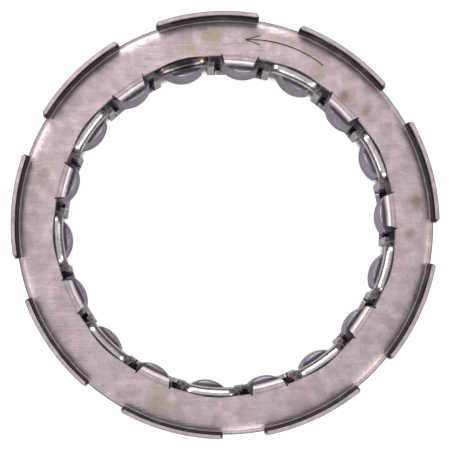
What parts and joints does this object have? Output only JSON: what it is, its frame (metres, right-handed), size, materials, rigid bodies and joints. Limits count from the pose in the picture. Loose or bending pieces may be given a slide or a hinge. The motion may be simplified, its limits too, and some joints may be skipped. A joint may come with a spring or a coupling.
{
  "type": "flanged caged sprag clutch",
  "caption": "Ring-shaped one-way clutch: tilting steel sprags in two cages with a ribbon spring, under a flat flange plate with a lipped rim.",
  "frame": {"origin": "on the clutch's axis, in the plane of its rear face", "axes": "+Z along the axis, from the rear face towards the flange plate; +X points between the first lip and the last gap"},
  "size_m": [0.0776, 0.0776, 0.0197],
  "materials": {
    "plate_steel": "satin rolled sheet, faintly mottled",
    "cage_steel": "satin drawn sheet",
    "bright_cage_steel": "bright tumbled sheet",
    "spring_steel": "smooth hardened strip",
    "sprag_steel": "fine ground and polished"
  },
  "bodies": {
    "outer_cage_and_flange": {"flange_plate": "plate_steel", "outer_cage": "cage_steel", "ribbon_spring": "spring_steel"},
    "inner_cage": {"inner_cage": "bright_cage_steel"},
    "sprag_01": {"sprag_01": "sprag_steel"},
    "sprag_02": {"sprag_02": "sprag_steel"},
    "sprag_03": {"sprag_03": "sprag_steel"},
    "sprag_04": {"sprag_04": "sprag_steel"},
    "sprag_05": {"sprag_05": "sprag_steel"},
    "sprag_06": {"sprag_06": "sprag_steel"},
    "sprag_07": {"sprag_07": "sprag_steel"},
    "sprag_08": {"sprag_08": "sprag_steel"},
    "sprag_09": {"sprag_09": "sprag_steel"},
    "sprag_10": {"sprag_10": "sprag_steel"},
    "sprag_11": {"sprag_11": "sprag_steel"},
    "sprag_12": {"sprag_12": "sprag_steel"},
    "sprag_13": {"sprag_13": "sprag_steel"},
    "sprag_14": {"sprag_14": "sprag_steel"},
    "sprag_15": {"sprag_15": "sprag_steel"},
    "sprag_16": {"sprag_16": "sprag_steel"},
    "sprag_17": {"sprag_17": "sprag_steel"},
    "sprag_18": {"sprag_18": "sprag_steel"}
  },
  "joints": [
    {"name": "inner_cage_turn", "type": "hinge", "parent": "outer_cage_and_flange", "child": "inner_cage", "pos_m": [0, 0, 0.00765], "axis": [0, 0, 1], "range_deg": [-1.25, 0.18], "stiffness_Nm_per_rad": 0.1},
    {"name": "sprag_01_tilt", "type": "hinge", "parent": "outer_cage_and_flange", "child": "sprag_01", "pos_m": [0.03262, 0.00346, 0.0075], "axis": [0, 0, 1], "range_deg": [-2.5, 14.5]},
    {"name": "sprag_02_tilt", "type": "hinge", "parent": "outer_cage_and_flange", "child": "sprag_02", "pos_m": [0.02947, 0.0144, 0.0075], "axis": [0, 0, 1], "range_deg": [-2.5, 14.5]},
    {"name": "sprag_03_tilt", "type": "hinge", "parent": "outer_cage_and_flange", "child": "sprag_03", "pos_m": [0.02276, 0.02361, 0.0075], "axis": [0, 0, 1], "range_deg": [-2.5, 14.5]},
    {"name": "sprag_04_tilt", "type": "hinge", "parent": "outer_cage_and_flange", "child": "sprag_04", "pos_m": [0.01332, 0.02998, 0.0075], "axis": [0, 0, 1], "range_deg": [-2.5, 14.5]},
    {"name": "sprag_05_tilt", "type": "hinge", "parent": "outer_cage_and_flange", "child": "sprag_05", "pos_m": [0.00226, 0.03272, 0.0075], "axis": [0, 0, 1], "range_deg": [-2.5, 14.5]},
    {"name": "sprag_06_tilt", "type": "hinge", "parent": "outer_cage_and_flange", "child": "sprag_06", "pos_m": [-0.00907, 0.03152, 0.0075], "axis": [0, 0, 1], "range_deg": [-2.5, 14.5]},
    {"name": "sprag_07_tilt", "type": "hinge", "parent": "outer_cage_and_flange", "child": "sprag_07", "pos_m": [-0.0193, 0.02652, 0.0075], "axis": [0, 0, 1], "range_deg": [-2.5, 14.5]},
    {"name": "sprag_08_tilt", "type": "hinge", "parent": "outer_cage_and_flange", "child": "sprag_08", "pos_m": [-0.02721, 0.01832, 0.0075], "axis": [0, 0, 1], "range_deg": [-2.5, 14.5]},
    {"name": "sprag_09_tilt", "type": "hinge", "parent": "outer_cage_and_flange", "child": "sprag_09", "pos_m": [-0.03183, 0.00791, 0.0075], "axis": [0, 0, 1], "range_deg": [-2.5, 14.5]},
    {"name": "sprag_10_tilt", "type": "hinge", "parent": "outer_cage_and_flange", "child": "sprag_10", "pos_m": [-0.03262, -0.00346, 0.0075], "axis": [0, 0, 1], "range_deg": [-2.5, 14.5]},
    {"name": "sprag_11_tilt", "type": "hinge", "parent": "outer_cage_and_flange", "child": "sprag_11", "pos_m": [-0.02947, -0.0144, 0.0075], "axis": [0, 0, 1], "range_deg": [-2.5, 14.5]},
    {"name": "sprag_12_tilt", "type": "hinge", "parent": "outer_cage_and_flange", "child": "sprag_12", "pos_m": [-0.02276, -0.02361, 0.0075], "axis": [0, 0, 1], "range_deg": [-2.5, 14.5]},
    {"name": "sprag_13_tilt", "type": "hinge", "parent": "outer_cage_and_flange", "child": "sprag_13", "pos_m": [-0.01332, -0.02998, 0.0075], "axis": [0, 0, 1], "range_deg": [-2.5, 14.5]},
    {"name": "sprag_14_tilt", "type": "hinge", "parent": "outer_cage_and_flange", "child": "sprag_14", "pos_m": [-0.00226, -0.03272, 0.0075], "axis": [0, 0, 1], "range_deg": [-2.5, 14.5]},
    {"name": "sprag_15_tilt", "type": "hinge", "parent": "outer_cage_and_flange", "child": "sprag_15", "pos_m": [0.00907, -0.03152, 0.0075], "axis": [0, 0, 1], "range_deg": [-2.5, 14.5]},
    {"name": "sprag_16_tilt", "type": "hinge", "parent": "outer_cage_and_flange", "child": "sprag_16", "pos_m": [0.0193, -0.02652, 0.0075], "axis": [0, 0, 1], "range_deg": [-2.5, 14.5]},
    {"name": "sprag_17_tilt", "type": "hinge", "parent": "outer_cage_and_flange", "child": "sprag_17", "pos_m": [0.02721, -0.01832, 0.0075], "axis": [0, 0, 1], "range_deg": [-2.5, 14.5]},
    {"name": "sprag_18_tilt", "type": "hinge", "parent": "outer_cage_and_flange", "child": "sprag_18", "pos_m": [0.03183, -0.00791, 0.0075], "axis": [0, 0, 1], "range_deg": [-2.5, 14.5]}
  ],
  "couplings": [
    {"joint": "sprag_01_tilt", "follows": "inner_cage_turn", "ratio": -11.148},
    {"joint": "sprag_02_tilt", "follows": "inner_cage_turn", "ratio": -11.148},
    {"joint": "sprag_03_tilt", "follows": "inner_cage_turn", "ratio": -11.148},
    {"joint": "sprag_04_tilt", "follows": "inner_cage_turn", "ratio": -11.148},
    {"joint": "sprag_05_tilt", "follows": "inner_cage_turn", "ratio": -11.148},
    {"joint": "sprag_06_tilt", "follows": "inner_cage_turn", "ratio": -11.148},
    {"joint": "sprag_07_tilt", "follows": "inner_cage_turn", "ratio": -11.148},
    {"joint": "sprag_08_tilt", "follows": "inner_cage_turn", "ratio": -11.148},
    {"joint": "sprag_09_tilt", "follows": "inner_cage_turn", "ratio": -11.148},
    {"joint": "sprag_10_tilt", "follows": "inner_cage_turn", "ratio": -11.148},
    {"joint": "sprag_11_tilt", "follows": "inner_cage_turn", "ratio": -11.148},
    {"joint": "sprag_12_tilt", "follows": "inner_cage_turn", "ratio": -11.148},
    {"joint": "sprag_13_tilt", "follows": "inner_cage_turn", "ratio": -11.148},
    {"joint": "sprag_14_tilt", "follows": "inner_cage_turn", "ratio": -11.148},
    {"joint": "sprag_15_tilt", "follows": "inner_cage_turn", "ratio": -11.148},
    {"joint": "sprag_16_tilt", "follows": "inner_cage_turn", "ratio": -11.148},
    {"joint": "sprag_17_tilt", "follows": "inner_cage_turn", "ratio": -11.148},
    {"joint": "sprag_18_tilt", "follows": "inner_cage_turn", "ratio": -11.148}
  ]
}
